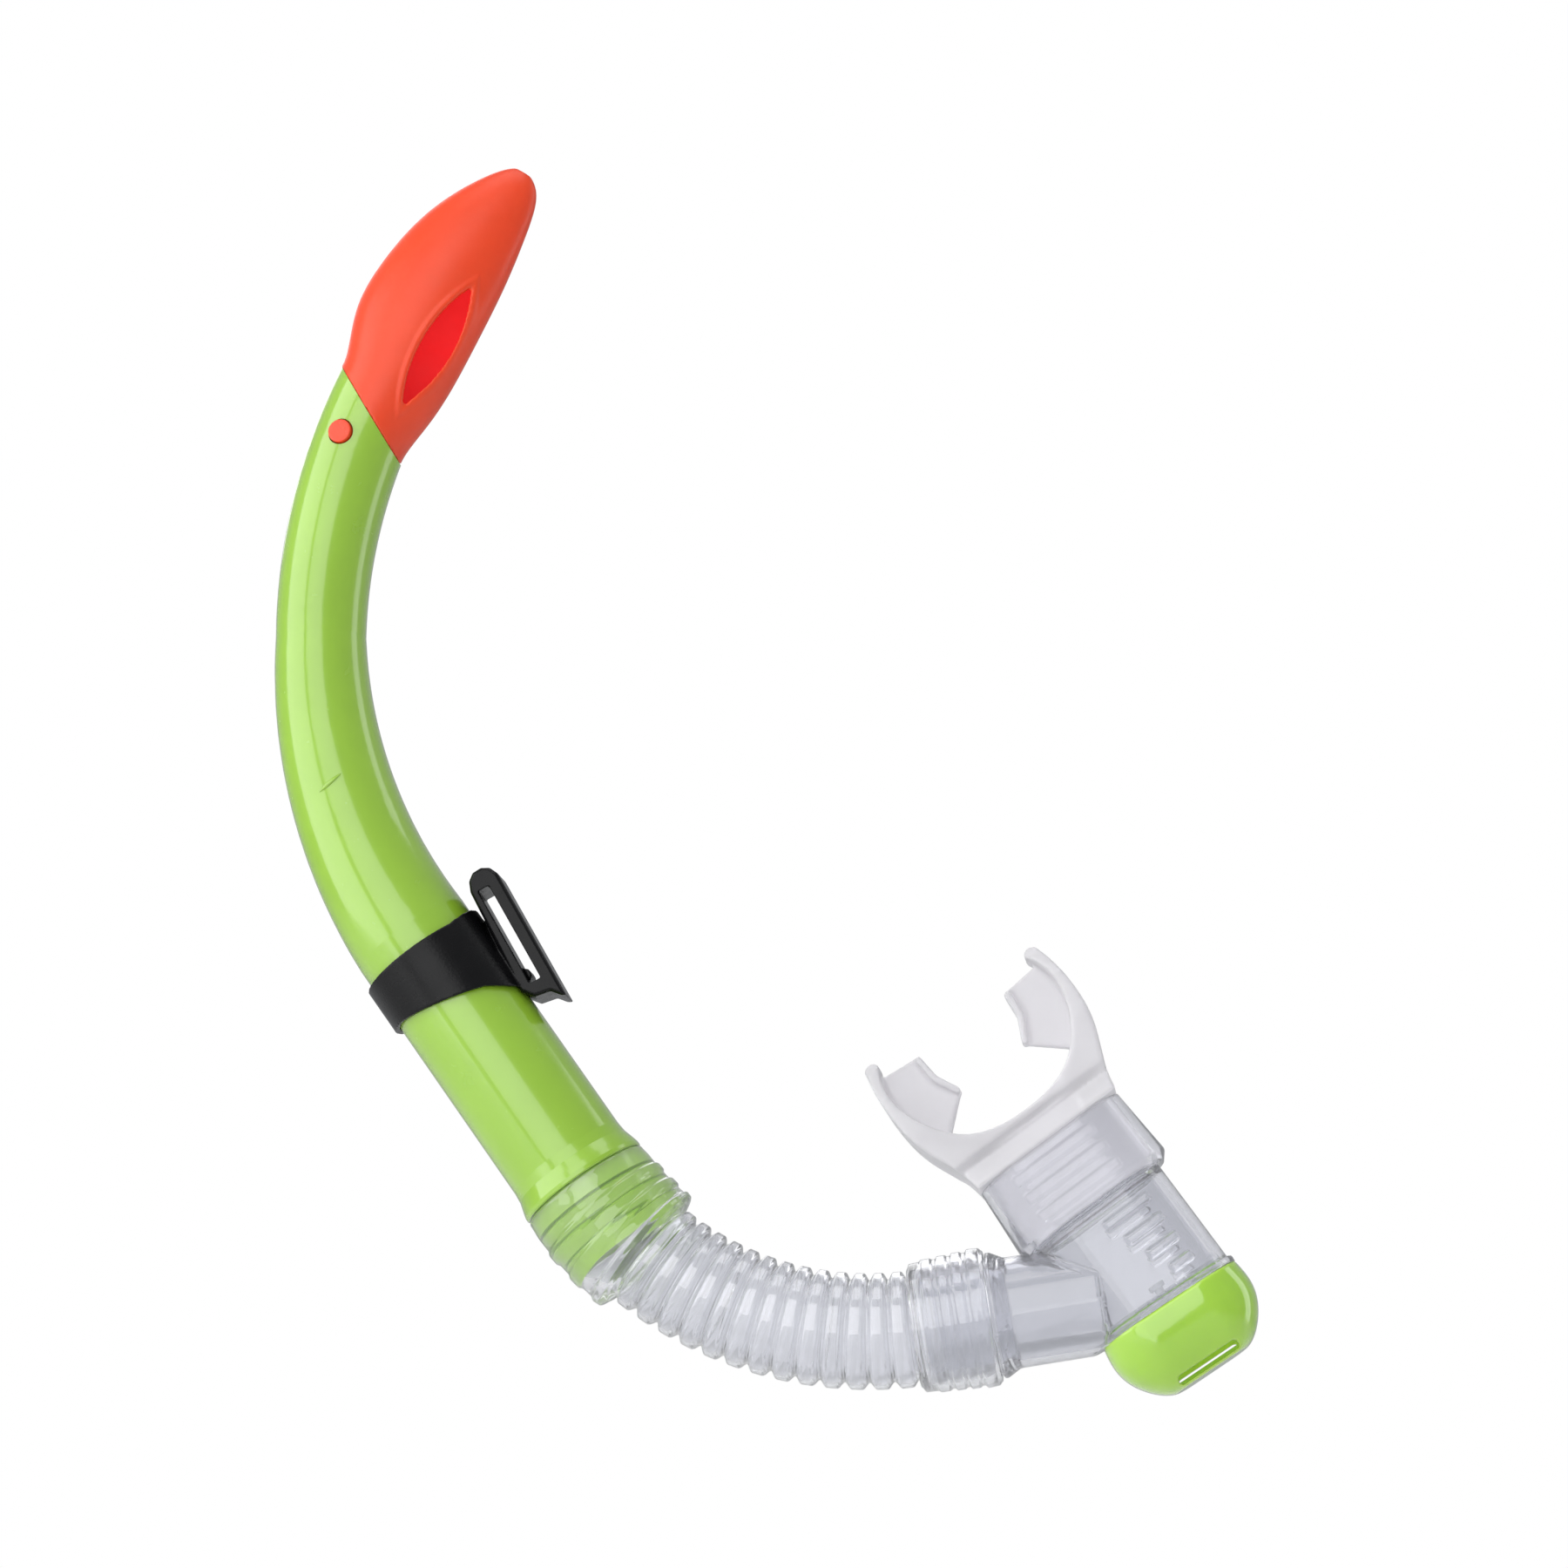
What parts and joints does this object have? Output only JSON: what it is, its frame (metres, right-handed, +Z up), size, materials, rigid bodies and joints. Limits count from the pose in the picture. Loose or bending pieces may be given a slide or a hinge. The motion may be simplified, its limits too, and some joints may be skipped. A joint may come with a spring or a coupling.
{
  "type": "snorkel tube",
  "caption": "Diving snorkel: curved barrel with splash guard and strap keeper, corrugated lower hose, swivelling mouthpiece chamber with a purge valve and a bite mouthpiece.",
  "frame": {"origin": "middle of the keeper's strap slot", "axes": "+Z up the barrel, +Y through the strap slot and away from the viewer, +X towards the mouthpiece; the tube bends in the plane Y = 0"},
  "size_m": [0.2479, 0.036, 0.3177],
  "materials": {
    "barrel_lime": "gloss",
    "guard_orange": "satin",
    "keeper_black": "satin",
    "hose_clear": "gloss",
    "chamber_clear": "gloss",
    "silicone": "satin",
    "cover_lime": "gloss",
    "valve_membrane": "matte"
  },
  "bodies": {
    "barrel": {"barrel_tube": "barrel_lime", "splash_guard": "guard_orange", "splash_baffle": "guard_orange"},
    "button_front": {"snap_button_front": "guard_orange"},
    "button_rear": {"snap_button_rear": "guard_orange"},
    "keeper": {"strap_keeper": "keeper_black"},
    "hose_top": {"hose_upper_cuff": "hose_clear", "hose_section_1": "hose_clear"},
    "hose_upper_middle": {"hose_section_2": "hose_clear"},
    "hose_lower_middle": {"hose_section_3": "hose_clear"},
    "hose_bottom": {"hose_section_4": "hose_clear", "hose_lower_cuff": "hose_clear"},
    "chamber": {"chamber_body": "chamber_clear", "mouthpiece_collar": "chamber_clear", "mouthpiece": "silicone", "purge_valve_seat": "chamber_clear", "purge_cover": "cover_lime"},
    "diaphragm": {"purge_diaphragm": "valve_membrane"}
  },
  "joints": [
    {"name": "button_front_press", "type": "slide", "parent": "barrel", "child": "button_front", "axis": [0.2273, 0.9703, -0.0829], "range_m": [0, 0.0018], "stiffness_N_per_m": 400},
    {"name": "button_rear_press", "type": "slide", "parent": "barrel", "child": "button_rear", "axis": [0.2273, -0.9703, -0.0829], "range_m": [0, 0.0018], "stiffness_N_per_m": 400},
    {"name": "keeper_swivel", "type": "hinge", "parent": "barrel", "child": "keeper", "pos_m": [-0.02586, 0, 0.00089], "axis": [0.575, 0, -0.8181], "continuous": true},
    {"name": "hose_swivel", "type": "hinge", "parent": "barrel", "child": "hose_top", "pos_m": [0.01858, 0, -0.06235], "axis": [0.575, 0, -0.8181], "range_deg": [-60, 60]},
    {"name": "hose_bend_upper", "type": "hinge", "parent": "hose_top", "child": "hose_upper_middle", "pos_m": [0.04369, 0, -0.08617], "axis": [0, -1, 0], "range_deg": [-16, 14], "stiffness_Nm_per_rad": 1.2, "deforming": ["hose_section_1", "hose_section_2"]},
    {"name": "hose_bend_side", "type": "hinge", "parent": "hose_upper_middle", "child": "hose_lower_middle", "pos_m": [0.06329, 0, -0.09531], "axis": [0.3072, 0, 0.9516], "range_deg": [-22, 22], "stiffness_Nm_per_rad": 1.2, "deforming": ["hose_section_3"]},
    {"name": "hose_bend_lower", "type": "hinge", "parent": "hose_lower_middle", "child": "hose_bottom", "pos_m": [0.08994, 0, -0.09954], "axis": [0, -1, 0], "range_deg": [-16, 14], "stiffness_Nm_per_rad": 1.2, "deforming": ["hose_section_4"]},
    {"name": "mouthpiece_swivel", "type": "hinge", "parent": "hose_bottom", "child": "chamber", "pos_m": [0.10348, 0, -0.09852], "axis": [0.9884, 0, 0.1521], "range_deg": [-90, 90]},
    {"name": "diaphragm_lift", "type": "slide", "parent": "chamber", "child": "diaphragm", "axis": [0.5505, 0, -0.8348], "range_m": [0, 0.0015], "stiffness_N_per_m": 20}
  ],
  "couplings": [
    {"joint": "hose_bend_lower", "follows": "hose_bend_upper", "ratio": 1}
  ]
}
